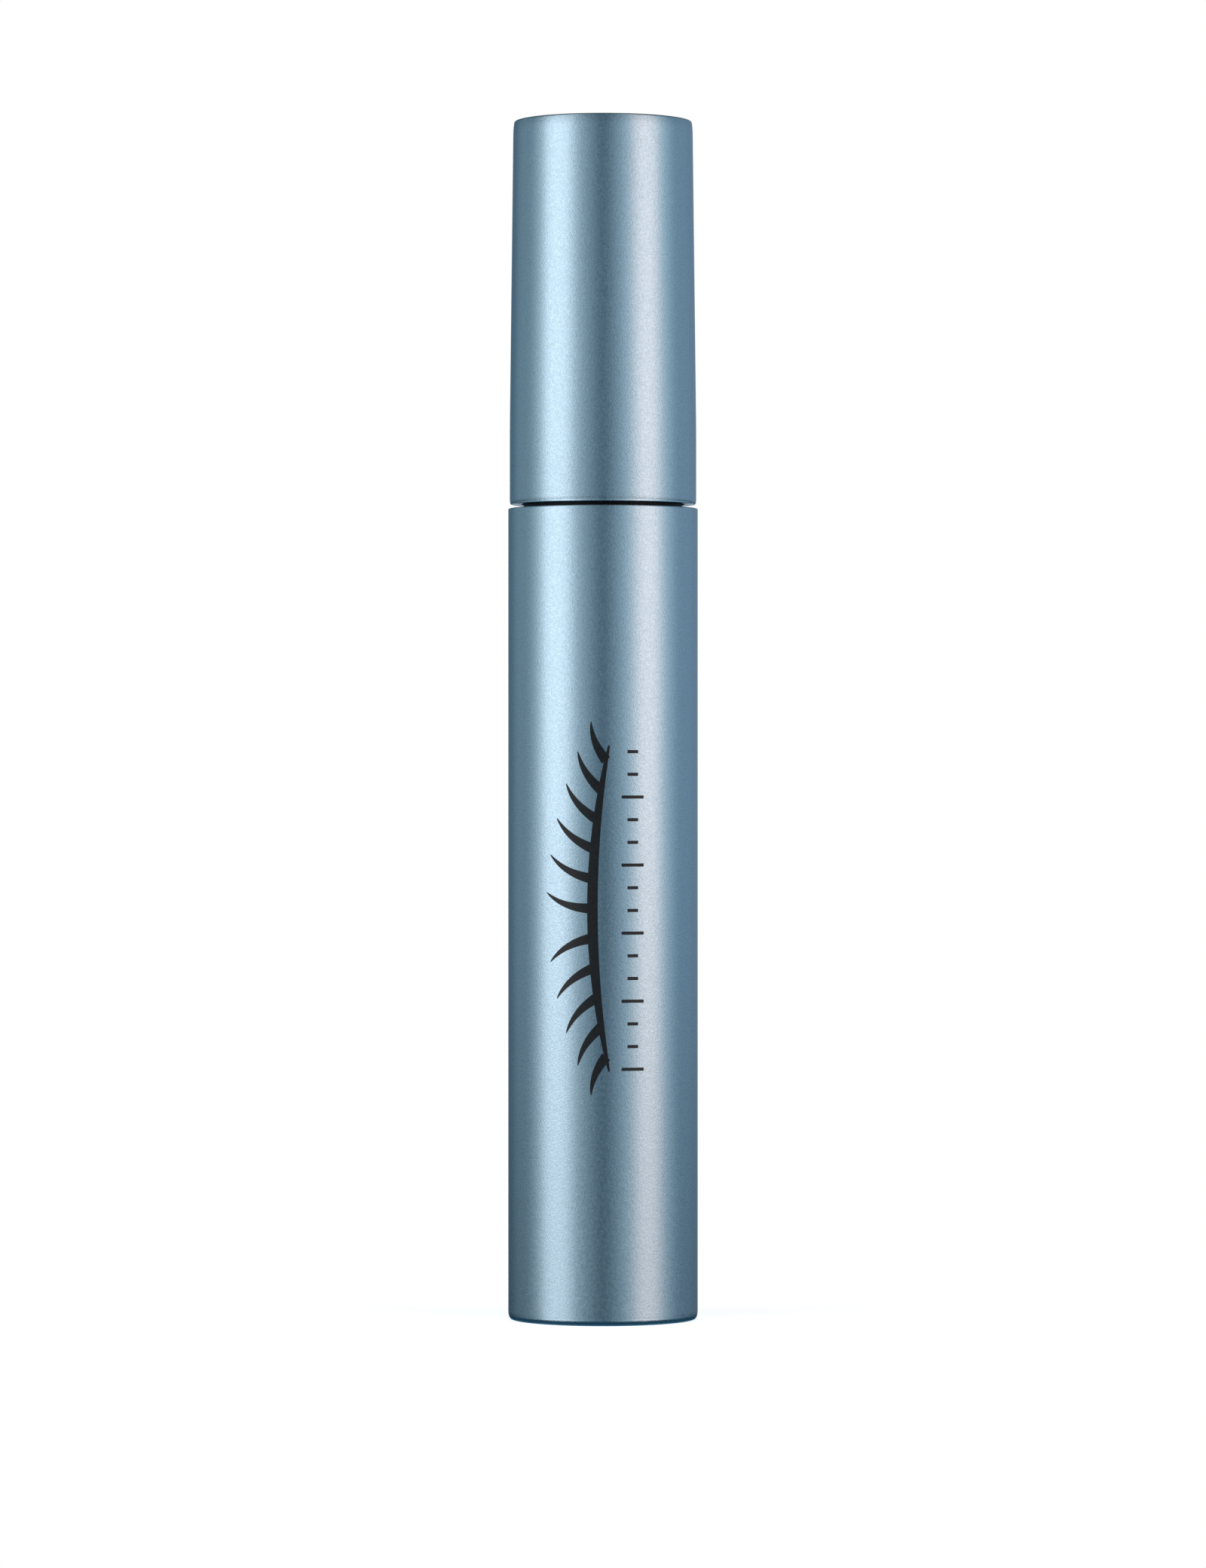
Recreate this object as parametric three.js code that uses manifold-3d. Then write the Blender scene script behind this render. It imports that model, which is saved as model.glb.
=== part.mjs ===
// Mascara tube, standing closed: a lacquered outer sleeve round a threaded inner bottle,
// and a screw cap that carries the wand and the moulded brush down into the bottle.
// Millimetres, +Z up, origin at the centre of the underside, printed front towards -Y.
import * as THREE from 'three';
import { mergeVertices } from 'three/addons/utils/BufferGeometryUtils.js';
import Module from 'manifold-3d';

// Driving dimensions
const OVERALL_HEIGHT = 120;
const FIT_GAP = 0.05;
const SLEEVE = { height: 81.2, radius: 9.5, bore: 8.4, lipBore: 8.05, lipThickness: 1.0 };
const SLEEVE_EDGE = { bottom: 0.5, top: 0.15 };
const PLUG = { bottom: 0.4, top: 2.4, recessRadius: 7.3, recessDepth: 0.2 };
const BOTTLE = { floor: 2.5, radius: 8.3, wall: 1.2, shoulderRadius: 7.95, fillHeight: 70 };
const NECK = { root: 6.0, crest: 6.7, bore: 4.75, top: 92.5 };
const THREAD = { pitch: 2.5, turns: 1.5, footWidth: 1.2, crestWidth: 0.6, start: 86.2 };
const WIPER = { wall: 0.7, flange: 0.8, length: 16, clearance: 0.1 };
const CAP = { gap: 0.4, rimRadius: 9.35, topRadius: 9.0, straight: 7.6, roof: 1.3, bore: 7.9, topEdge: 0.3 };
const COUNTERBORE = { radius: 8.2, depth: 1.0 };
const INSERT = { radius: 7.85, recess: 2.2, threadBore: 6.8, threadCrest: 6.1, chamber: 6.5, web: 1.5 };
const BOSS = { radius: 4.0, height: 7.2, spigotRadius: 2.4 };
const WEIGHT = { radius: 6.4, height: 8.9, postRadius: 2.0 };
const WAND = { rimRadius: 2.75, tipRadius: 2.5, reach: 46.6, tipEdge: 0.5, flangeRadius: 5.2, flange: 0.8 };
const BRUSH = { reach: 75.5, stemLength: 2.1, stemRadius: 1.45, rodRadius: 1.25, socketDepth: 5 };
const BRISTLE = { rows: 12, pitch: 1.18, footRadius: 0.15, hubRadius: 1.65, farRadius: 4.15, nearRadius: 3.7 };
const CROWN = [{ lean: 70, count: 12 }, { lean: 45, count: 8 }, { lean: 18, count: 5 }];
const CROWN_NEEDLE = 2.1;

// Heights that follow from them
const CAP_RIM = SLEEVE.height + CAP.gap;
const SHOULDER_TOP = CAP_RIM + 0.8;
const SLEEVE_STOP = SLEEVE.height - SLEEVE.lipThickness - FIT_GAP;
const WIPER_TOP = NECK.top + FIT_GAP + WIPER.flange;
const LINER_TOP = WIPER_TOP + FIT_GAP + 1.0;
const FLANGE_TOP = LINER_TOP + FIT_GAP + WAND.flange;
const WEB_BOTTOM = FLANGE_TOP + FIT_GAP;
const WEB_TOP = WEB_BOTTOM + INSERT.web;
const BOSS_TOP = WEB_TOP + BOSS.height;
const WEIGHT_TOP = BOSS_TOP + FIT_GAP + WEIGHT.height;
const ROOF_UNDERSIDE = OVERALL_HEIGHT - CAP.roof;
const WAND_END = CAP_RIM - WAND.reach;
const BRISTLE_TOP = WAND_END - BRUSH.stemLength;
const CROWN_CENTRE = CAP_RIM - BRUSH.reach + CROWN_NEEDLE + BRISTLE.hubRadius;

const SKIN_SEGMENTS = 48;
const INNER_SEGMENTS = 32;
const ROD_SEGMENTS = 24;

const wasm = await Module();
wasm.setup();

// An outline of [radius, height] points, counter-clockwise, turned about the upright axis.
// It starts and ends on the axis, or is closed here into a ring.
function turned(outline, segments) {
  const points = outline.map(([radius, height]) => new THREE.Vector2(radius, height));
  if (outline[0][0] > 0) {
    points.push(points[0].clone());
  }
  const geometry = new THREE.LatheGeometry(points, segments);
  return geometry.rotateX(Math.PI / 2);
}

// The points of a rounded edge about [radius, height], between two angles in degrees
function rounded(radius, height, size, from, to, steps) {
  return Array.from({ length: steps + 1 }, (_, i) => {
    const angle = THREE.MathUtils.degToRad(from + ((to - from) * i) / steps);
    return [radius + size * Math.cos(angle), height + size * Math.sin(angle)];
  });
}

function toSolid(geometry) {
  const bare = geometry.clone();
  bare.deleteAttribute('normal');
  bare.deleteAttribute('uv');
  const merged = mergeVertices(bare, 1e-5);
  const vertProperties = new Float32Array(merged.attributes.position.array);
  const triVerts = new Uint32Array(merged.index.array);
  return new wasm.Manifold(new wasm.Mesh({ numProp: 3, vertProperties, triVerts }));
}

function toGeometry(solid) {
  const { vertProperties, triVerts } = solid.getMesh();
  const geometry = new THREE.BufferGeometry();
  geometry.setAttribute('position', new THREE.BufferAttribute(new Float32Array(vertProperties), 3));
  geometry.setIndex(new THREE.BufferAttribute(new Uint32Array(triVerts), 1));
  geometry.computeVertexNormals();
  return geometry;
}

// A right-hand thread ridge that fades in and out over its ends. foot is a radius buried in
// the wall, root the wall's own radius and crest the ridge's far edge, inward or outward.
function threadRidge(foot, root, crest, start) {
  const steps = 54;
  const fadeSteps = 5;
  const sides = 4;
  const positions = [];
  for (let i = 0; i <= steps; i += 1) {
    const turn = (i / steps) * THREAD.turns;
    const angle = turn * 2 * Math.PI;
    const height = start + turn * THREAD.pitch;
    const fade = Math.min(1, (Math.min(i, steps - i) + 0.4) / fadeSteps);
    const edge = root + (crest - root) * fade;
    const section = [
      [foot, -THREAD.footWidth / 2],
      [edge, -THREAD.crestWidth / 2],
      [edge, THREAD.crestWidth / 2],
      [foot, THREAD.footWidth / 2],
    ];
    for (const [radius, rise] of section) {
      positions.push(radius * Math.cos(angle), radius * Math.sin(angle), height + rise);
    }
  }
  const end = steps * sides;
  const index = [0, 1, 2, 0, 2, 3, end, end + 2, end + 1, end, end + 3, end + 2];
  for (let i = 0; i < steps; i += 1) {
    for (let side = 0; side < sides; side += 1) {
      const here = i * sides + side;
      const beside = i * sides + ((side + 1) % sides);
      index.push(here, here + sides, beside + sides, here, beside + sides, beside);
    }
  }
  if (crest < root) {
    index.reverse();
  }
  const geometry = new THREE.BufferGeometry();
  geometry.setAttribute('position', new THREE.Float32BufferAttribute(positions, 3));
  return geometry.setIndex(index);
}

function bodySleeve() {
  const { bottom, top } = SLEEVE_EDGE;
  const lipUnderside = SLEEVE.height - SLEEVE.lipThickness;
  return turned([
    [SLEEVE.bore, 0],
    ...rounded(SLEEVE.radius - bottom, bottom, bottom, -90, 0, 3),
    ...rounded(SLEEVE.radius - top, SLEEVE.height - top, top, 0, 90, 1),
    [SLEEVE.lipBore, SLEEVE.height],
    [SLEEVE.lipBore, lipUnderside],
    [SLEEVE.bore, lipUnderside],
  ], SKIN_SEGMENTS);
}

function basePlug() {
  const radius = SLEEVE.bore - FIT_GAP;
  const recess = PLUG.bottom + PLUG.recessDepth;
  return turned([
    [0, recess],
    [PLUG.recessRadius, recess],
    [PLUG.recessRadius, PLUG.bottom],
    [radius, PLUG.bottom],
    [radius, PLUG.top],
    [0, PLUG.top],
  ], SKIN_SEGMENTS);
}

function baseLabel() {
  const radius = PLUG.recessRadius - 0.2;
  const top = PLUG.bottom + PLUG.recessDepth - 0.03;
  const bottom = top - 0.12;
  return turned([[0, bottom], [radius, bottom], [radius, top], [0, top]], INNER_SEGMENTS);
}

function innerBottle() {
  const inside = BOTTLE.radius - BOTTLE.wall;
  const bevel = 0.4;
  const body = turned([
    [0, BOTTLE.floor],
    [BOTTLE.radius - bevel, BOTTLE.floor],
    [BOTTLE.radius, BOTTLE.floor + bevel],
    [BOTTLE.radius, SLEEVE_STOP],
    [BOTTLE.shoulderRadius, SLEEVE_STOP],
    [BOTTLE.shoulderRadius, SHOULDER_TOP],
    [NECK.root, SHOULDER_TOP],
    [NECK.root, NECK.top],
    [NECK.bore, NECK.top],
    [NECK.bore, SLEEVE_STOP + BOTTLE.wall],
    [inside, SLEEVE_STOP - BOTTLE.wall],
    [inside, BOTTLE.floor + BOTTLE.wall],
    [0, BOTTLE.floor + BOTTLE.wall],
  ], INNER_SEGMENTS);
  const ridge = threadRidge(NECK.root - 0.4, NECK.root, NECK.crest, THREAD.start);
  return toGeometry(toSolid(body).add(toSolid(ridge)));
}

// A flange on the neck's rim, a sleeve down the neck and a funnel to a tight orifice
function wiper() {
  const outside = NECK.bore - FIT_GAP;
  const inside = outside - WIPER.wall;
  const orifice = WAND.rimRadius + WIPER.clearance;
  const flangeRadius = NECK.root - 0.15;
  const bottom = NECK.top - WIPER.length;
  const funnel = 4.8;
  return turned([
    [orifice, bottom],
    [orifice + WIPER.wall / 2, bottom],
    [outside, bottom + funnel],
    [outside, NECK.top + FIT_GAP],
    [flangeRadius, NECK.top + FIT_GAP],
    [flangeRadius, WIPER_TOP],
    [inside, WIPER_TOP],
    [inside, bottom + funnel + WIPER.wall],
    [orifice, bottom + WIPER.wall],
  ], INNER_SEGMENTS);
}

// The mascara lies round the channel that the brush leaves
function mascaraFill() {
  const outside = BOTTLE.radius - BOTTLE.wall - FIT_GAP;
  const channel = BRISTLE.farRadius + 0.5;
  const bottom = BOTTLE.floor + BOTTLE.wall + FIT_GAP;
  const top = BOTTLE.fillHeight;
  return turned([[channel, bottom], [outside, bottom], [outside, top], [channel, top]], INNER_SEGMENTS);
}

function linerWasher() {
  const hole = WAND.rimRadius + 0.2;
  const radius = NECK.root - 0.2;
  const bottom = WIPER_TOP + FIT_GAP;
  return turned([[hole, bottom], [radius, bottom], [radius, LINER_TOP], [hole, LINER_TOP]], INNER_SEGMENTS);
}

// A straight band above the rim, then a slight taper to a crisp top edge. A post under the
// roof holds the weight down.
function capShell() {
  const bevel = 0.1;
  const postEnd = WEIGHT_TOP + FIT_GAP;
  const step = CAP_RIM + COUNTERBORE.depth;
  return turned([
    [0, postEnd],
    [WEIGHT.postRadius, postEnd],
    [WEIGHT.postRadius, ROOF_UNDERSIDE],
    [CAP.bore, ROOF_UNDERSIDE],
    [CAP.bore, step],
    [COUNTERBORE.radius, step],
    [COUNTERBORE.radius, CAP_RIM],
    [CAP.rimRadius - bevel, CAP_RIM],
    [CAP.rimRadius, CAP_RIM + bevel],
    [CAP.rimRadius, CAP_RIM + CAP.straight],
    ...rounded(CAP.topRadius - CAP.topEdge, OVERALL_HEIGHT - CAP.topEdge, CAP.topEdge, 0, 90, 2),
    [0, OVERALL_HEIGHT],
  ], SKIN_SEGMENTS);
}

// The threaded insert: skirt over the neck, web with the wand's boss, chamber for the weight
function innerCap() {
  const bottom = CAP_RIM + INSERT.recess;
  const top = ROOF_UNDERSIDE - FIT_GAP;
  const bossBore = BOSS.spigotRadius + FIT_GAP;
  const body = turned([
    [INSERT.threadBore, bottom],
    [INSERT.radius, bottom],
    [INSERT.radius, top],
    [INSERT.chamber, top],
    [INSERT.chamber, WEB_TOP],
    [BOSS.radius, WEB_TOP],
    [BOSS.radius, BOSS_TOP],
    [bossBore, BOSS_TOP],
    [bossBore, WEB_BOTTOM],
    [INSERT.threadBore, WEB_BOTTOM],
  ], INNER_SEGMENTS);
  const start = THREAD.start - THREAD.pitch / 2;
  const ridge = threadRidge(INSERT.threadBore + 0.4, INSERT.threadBore, INSERT.threadCrest, start);
  return toGeometry(toSolid(body).add(toSolid(ridge)));
}

function capWeight() {
  const bottom = BOSS_TOP + FIT_GAP;
  const bevel = 0.4;
  return turned([
    [0, bottom],
    [WEIGHT.radius - bevel, bottom],
    [WEIGHT.radius, bottom + bevel],
    [WEIGHT.radius, WEIGHT_TOP - bevel],
    [WEIGHT.radius - bevel, WEIGHT_TOP],
    [0, WEIGHT_TOP],
  ], INNER_SEGMENTS);
}

function wand() {
  const socket = BRUSH.stemRadius + FIT_GAP;
  const edge = WAND.tipEdge;
  return turned([
    [0, WAND_END + BRUSH.socketDepth],
    [socket, WAND_END + BRUSH.socketDepth],
    [socket, WAND_END],
    ...rounded(WAND.tipRadius - edge, WAND_END + edge, edge, -90, 0, 3),
    [WAND.rimRadius, CAP_RIM],
    [WAND.rimRadius, LINER_TOP + FIT_GAP],
    [WAND.flangeRadius, LINER_TOP + FIT_GAP],
    [WAND.flangeRadius, FLANGE_TOP],
    [BOSS.spigotRadius, FLANGE_TOP],
    [BOSS.spigotRadius, BOSS_TOP - 0.5],
    [0, BOSS_TOP - 0.5],
  ], ROD_SEGMENTS);
}

// A stem that plugs into the wand, and a thinner rod inside the bristle sleeve
function brushCore() {
  return turned([
    [0, CROWN_CENTRE + FIT_GAP],
    [BRUSH.rodRadius, CROWN_CENTRE + FIT_GAP],
    [BRUSH.rodRadius, BRISTLE_TOP + FIT_GAP],
    [BRUSH.stemRadius, BRISTLE_TOP + FIT_GAP],
    [BRUSH.stemRadius, WAND_END + BRUSH.socketDepth - FIT_GAP],
    [0, WAND_END + BRUSH.socketDepth - FIT_GAP],
  ], ROD_SEGMENTS);
}

// One tapered needle from a foot buried in the hub, leaning from the brush's end axis
function needle(height, lean, around, length) {
  const buried = BRISTLE.hubRadius - 0.2;
  const cone = new THREE.ConeGeometry(BRISTLE.footRadius, length + 0.2, 3);
  cone.translate(0, buried + (length + 0.2) / 2, 0);
  cone.rotateX(-Math.PI / 2);
  cone.rotateY(THREE.MathUtils.degToRad(-lean));
  cone.rotateZ(THREE.MathUtils.degToRad(around));
  cone.translate(0, 0, height);
  return toSolid(cone);
}

function bristleSleeve() {
  const bore = BRUSH.rodRadius + FIT_GAP;
  const { rows, pitch, hubRadius, nearRadius, farRadius } = BRISTLE;
  let solid = toSolid(turned([
    ...rounded(0, CROWN_CENTRE, hubRadius, -90, 0, 4),
    [hubRadius, BRISTLE_TOP],
    [bore, BRISTLE_TOP],
    [bore, CROWN_CENTRE],
    [0, CROWN_CENTRE],
  ], ROD_SEGMENTS));
  const first = CROWN_CENTRE + 0.4;
  const span = BRISTLE_TOP - 0.5 - first;
  for (let row = 0; row < rows; row += 1) {
    const around = ((row + 0.5) * 360) / rows;
    for (let up = (row % 2) * (pitch / 2); up <= span; up += pitch) {
      const reach = THREE.MathUtils.lerp(nearRadius, farRadius, Math.min(1, (2 * up) / span));
      solid = solid.add(needle(first + up, 90, around, reach - hubRadius));
    }
  }
  for (const { lean, count } of CROWN) {
    for (let i = 0; i < count; i += 1) {
      solid = solid.add(needle(CROWN_CENTRE, lean, ((i + 0.5) * 360) / count, CROWN_NEEDLE));
    }
  }
  return toGeometry(solid);
}

const LACQUER = { color: '#7aa9c2', roughness: 0.35, metalness: 0.85 };
const BLUE_PLASTIC = { color: '#2d5f78', roughness: 0.25, metalness: 0.1 };
const BLACK_PLASTIC = { color: '#141416', roughness: 0.4, metalness: 0 };
const BLACK_RUBBER = { color: '#0d0d0e', roughness: 0.7, metalness: 0 };
const CLEAR_WHITE = { color: '#dfe3e2', roughness: 0.5, metalness: 0 };
const STEEL = { color: '#a9abad', roughness: 0.35, metalness: 1 };
const PAPER = { color: '#f3f2ee', roughness: 0.8, metalness: 0 };

const PIECES = [
  ['body_sleeve', bodySleeve(), LACQUER],
  ['base_plug', basePlug(), BLUE_PLASTIC],
  ['base_label', baseLabel(), PAPER],
  ['inner_bottle', innerBottle(), BLACK_PLASTIC],
  ['wiper', wiper(), CLEAR_WHITE],
  ['mascara_fill', mascaraFill(), BLACK_RUBBER],
  ['liner_washer', linerWasher(), CLEAR_WHITE],
  ['cap_weight', capWeight(), STEEL],
  ['cap_shell', capShell(), LACQUER],
  ['inner_cap', innerCap(), BLUE_PLASTIC],
  ['wand', wand(), BLACK_PLASTIC],
  ['brush_core', brushCore(), BLACK_PLASTIC],
  ['bristle_sleeve', bristleSleeve(), BLACK_RUBBER],
];

const mascaraTube = new THREE.Group();
for (const [name, geometry, look] of PIECES) {
  const mesh = new THREE.Mesh(geometry, new THREE.MeshStandardMaterial(look));
  mesh.name = name;
  mascaraTube.add(mesh);
}

export default mascaraTube;
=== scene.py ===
"""Mascara tube: the looks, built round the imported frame. Metres, +Z up, print towards -Y."""
import math
import random

import bpy
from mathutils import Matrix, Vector


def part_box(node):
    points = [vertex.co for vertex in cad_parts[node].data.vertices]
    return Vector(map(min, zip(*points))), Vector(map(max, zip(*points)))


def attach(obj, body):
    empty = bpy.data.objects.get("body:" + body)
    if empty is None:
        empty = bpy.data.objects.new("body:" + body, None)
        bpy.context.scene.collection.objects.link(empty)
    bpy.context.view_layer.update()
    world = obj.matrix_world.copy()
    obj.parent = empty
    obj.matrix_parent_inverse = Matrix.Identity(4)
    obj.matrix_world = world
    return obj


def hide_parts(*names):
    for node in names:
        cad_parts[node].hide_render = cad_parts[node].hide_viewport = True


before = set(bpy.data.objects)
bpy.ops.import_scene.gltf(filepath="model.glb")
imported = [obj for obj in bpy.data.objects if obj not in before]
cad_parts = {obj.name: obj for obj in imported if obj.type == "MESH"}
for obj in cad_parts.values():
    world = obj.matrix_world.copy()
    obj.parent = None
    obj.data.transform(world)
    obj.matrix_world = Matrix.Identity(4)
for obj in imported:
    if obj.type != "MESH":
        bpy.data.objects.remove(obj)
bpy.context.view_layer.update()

MM = 0.001

# Driving dimensions in millimetres, the same as the CAD's where it has them
FIT_GAP = 0.05
SLEEVE_WALL = 1.1
SLEEVE_LIP = 1.0
SLEEVE_LIP_BORE = 8.05
LABEL_RECESS_RADIUS = 7.3
LABEL_RECESS_DEPTH = 0.2
BOTTLE_WALL = 1.2
SHOULDER_RADIUS = 7.95
SHOULDER_PROUD = 1.2
NECK_ROOT = 6.0
NECK_BORE = 4.75
THREAD_PITCH = 2.5
THREAD_TURNS = 1.5
THREAD_DEPTH = 0.7
THREAD_FOOT = 1.2
THREAD_CREST = 0.6
THREAD_START = 86.2
WIPER_WALL = 0.7
WIPER_CLEARANCE = 0.1
WIPER_FUNNEL = 4.8
FILL_CHANNEL = 4.65
CAP_STRAIGHT = 7.6
CAP_TOP_RADIUS = 9.0
CAP_ROOF = 1.3
CAP_BORE = 7.9
COUNTERBORE_RADIUS = 8.2
COUNTERBORE_DEPTH = 1.0
INSERT_THREAD_BORE = 6.8
INSERT_CHAMBER = 6.5
INSERT_WEB = 1.5
BOSS_RADIUS = 4.0
BOSS_HEIGHT = 7.2
SPIGOT_RADIUS = 2.4
POST_RADIUS = 2.0
WAND_RIM_RADIUS = 2.75
WAND_TIP_RADIUS = 2.5
WAND_FLANGE = 0.8
STEM_RADIUS = 1.45
ROD_RADIUS = 1.25
BRUSH_SOCKET = 5.0

# Just under its top the cap's wall leans in by the brow, over the brow's height
CAP_BROW = 0.1
CAP_BROW_HEIGHT = 0.9
# The wide curves where the cap and the wand start to taper
CAP_BEND = 400.0
WAND_BEND = 300.0

# Segments round a turned piece
FINE = 256
MEDIUM = 160
SMALL = 96


def span(node):
    """A round node's outer radius, its lowest height and its highest height, in millimetres."""
    low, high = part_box(node)
    return high.x / MM, low.z / MM, high.z / MM


# ---------------------------------------------------------------- camera, light and floor

# Metres, and millimetres for the lens
CAMERA_DISTANCE = 0.645
EYE_HEIGHT = 0.0536
CAMERA_LENS = 147.7

# Colours of the studio that the lacquer reflects
ROOM_LEFT = (0.208, 0.275, 0.315)
ROOM_RIGHT = (0.225, 0.31, 0.385)
SPILL_LEFT = (0.42, 0.495, 0.54)
SPILL_RIGHT = (0.43, 0.54, 0.61)
GAP_EDGE = (0.24, 0.305, 0.345)
FRONT_GAP = (0.05, 0.10, 0.14)
LEFT_BOX = (1.38, 1.35, 1.38)
RIGHT_BOX = (1.45, 1.17, 1.11)
REAR_LEFT = (0.09, 0.145, 0.195)
REAR_RIGHT = (0.185, 0.25, 0.32)
BACKDROP = (0.9, 0.9, 0.9)
# Where they stand, in degrees to the left (negative) or right of the way from tube to camera
STUDIO = (
    (-180, BACKDROP), (-175, BACKDROP), (-168, REAR_LEFT), (-148, REAR_LEFT), (-126, ROOM_LEFT),
    (-104, ROOM_LEFT), (-87, SPILL_LEFT), (-70, LEFT_BOX), (-50, LEFT_BOX), (-29, SPILL_LEFT),
    (-14, GAP_EDGE), (0, FRONT_GAP), (14, GAP_EDGE), (29, SPILL_RIGHT), (50, RIGHT_BOX),
    (63, RIGHT_BOX), (85, SPILL_RIGHT), (104, ROOM_RIGHT), (124, ROOM_RIGHT), (148, REAR_RIGHT),
    (168, REAR_RIGHT), (175, BACKDROP), (180, BACKDROP),
)
# How bright they are by elevation in degrees, from -90 straight down to 90 straight up
WALL_HEIGHTS = (
    (-75, 0.08), (-50, 0.9), (-18, 1.0), (-8, 0.2), (-1, 1.0), (8, 1.0), (18, 0.66), (60, 0.3),
)
FLOOR_HALF = 4.0
FLOOR_GLOW = 0.52
FLOOR_PAINT = (2.5, 2.33, 2.25)
# The floor takes the tube's shadow up to the first distance and none past the second, in metres
SHADOW_FADES = (0.03, 0.11)
# The painted shade that the foot reflects starts this far inside the sleeve and ends this far
# outside it
SHADE_INSIDE = 0.1
SHADE_OUTSIDE = 1.0
# Painted shade: glowing colours on the floor, seen only in the tube's reflections, that stand in
# for the dark beside the foot and the dim floor under it
PAINTED_SHADE_BESIDE_TUBE = (0.012, 0.05, 0.08)
PAINTED_SHADE_UNDER_TUBE = (0.05, 0.13, 0.19)
WHITE = (1.0, 1.0, 1.0, 1.0)


def make_camera():
    """Level, straight in front of the tube, far enough for the photograph's faint perspective."""
    data = bpy.data.cameras.new("camera")
    data.lens = CAMERA_LENS
    data.sensor_width = 36.0
    data.clip_start = 0.01
    data.clip_end = 20.0
    camera = bpy.data.objects.new("camera", data)
    camera.location = (0.0, -CAMERA_DISTANCE, EYE_HEIGHT)
    camera.rotation_euler = (math.pi / 2, 0.0, 0.0)
    bpy.context.scene.collection.objects.link(camera)
    bpy.context.scene.camera = camera


class Nodes:
    """A short way to add and join shader nodes."""

    def __init__(self, tree):
        self.tree = tree
        tree.nodes.clear()

    def add(self, kind, **values):
        node = self.tree.nodes.new(kind)
        for name, value in values.items():
            setattr(node, name, value)
        return node

    def join(self, source, target):
        self.tree.links.new(source, target)

    def math(self, operation, first, second=None, third=None):
        node = self.add("ShaderNodeMath", operation=operation)
        for socket, value in zip(node.inputs, (first, second, third)):
            if value is None:
                continue
            if isinstance(value, (int, float)):
                socket.default_value = value
            else:
                self.join(value, socket)
        return node.outputs[0]

    def ramp(self, factor, stops, interpolation="LINEAR"):
        node = self.add("ShaderNodeValToRGB")
        node.color_ramp.interpolation = interpolation
        elements = node.color_ramp.elements
        while len(elements) > 1:
            elements.remove(elements[-1])
        elements[0].position, elements[0].color = stops[0]
        for position, colour in stops[1:]:
            elements.new(position).color = colour
        self.join(factor, node.inputs["Fac"])
        return node.outputs["Color"]

    def mix(self, factor, first, second):
        node = self.add("ShaderNodeMix", data_type="RGBA")
        sockets = (node.inputs[0], node.inputs[6], node.inputs[7])
        for socket, value in zip(sockets, (factor, first, second)):
            if isinstance(value, bpy.types.NodeSocket):
                self.join(value, socket)
            else:
                socket.default_value = value
        return node.outputs[2]

    def blend(self, factor, first, second):
        node = self.add("ShaderNodeMixShader")
        for socket, value in zip(node.inputs, (factor, first, second)):
            self.join(value, socket)
        return node.outputs[0]


def grey(value):
    return (value, value, value, 1.0)


def make_world():
    """White to the camera; to the object, a dim blue room with two tall softboxes."""
    scene = bpy.context.scene
    scene.view_settings.view_transform = "Standard"
    scene.view_settings.look = "None"
    world = bpy.data.worlds.new("studio")
    world.use_nodes = True
    scene.world = world
    n = Nodes(world.node_tree)
    direction = n.add("ShaderNodeSeparateXYZ")
    n.join(n.add("ShaderNodeTexCoord").outputs["Generated"], direction.inputs[0])
    x, y, z = direction.outputs
    compass = n.math("ARCTAN2", x, n.math("MULTIPLY", y, -1.0))
    around = n.math("MULTIPLY_ADD", compass, 1 / (2 * math.pi), 0.5)
    stops = [((angle + 180) / 360, (*colour, 1.0)) for angle, colour in STUDIO]
    walls = n.ramp(around, stops, "EASE")
    upward = n.math("MULTIPLY_ADD", n.math("ARCSINE", z), 1 / math.pi, 0.5)
    height = n.ramp(upward, [((angle + 90) / 180, grey(share)) for angle, share in WALL_HEIGHTS])
    lit_walls = n.add("ShaderNodeMix", data_type="RGBA", blend_type="MULTIPLY")
    lit_walls.inputs[0].default_value = 1.0
    n.join(walls, lit_walls.inputs[6])
    n.join(height, lit_walls.inputs[7])
    by_camera = n.add("ShaderNodeLightPath").outputs["Is Camera Ray"]
    seen = n.mix(by_camera, lit_walls.outputs[2], WHITE)
    background = n.add("ShaderNodeBackground")
    n.join(seen, background.inputs["Color"])
    n.join(background.outputs[0], n.add("ShaderNodeOutputWorld").inputs["Surface"])


def floor_for_camera(n, distance):
    """White, with the tube's soft shadow near it, fading into the background."""
    far = n.add("ShaderNodeMapRange", interpolation_type="SMOOTHSTEP")
    far.inputs["From Min"].default_value = SHADOW_FADES[0]
    far.inputs["From Max"].default_value = SHADOW_FADES[1]
    n.join(distance, far.inputs["Value"])
    paint = n.add("ShaderNodeBsdfDiffuse")
    paint.inputs["Color"].default_value = (*FLOOR_PAINT, 1.0)
    glow = n.add("ShaderNodeEmission")
    glow.inputs["Strength"].default_value = FLOOR_GLOW
    near = n.add("ShaderNodeAddShader")
    n.join(paint.outputs[0], near.inputs[0])
    n.join(glow.outputs[0], near.inputs[1])
    background = n.add("ShaderNodeEmission")
    return n.blend(far.outputs[0], near.outputs[0], background.outputs[0])


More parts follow.
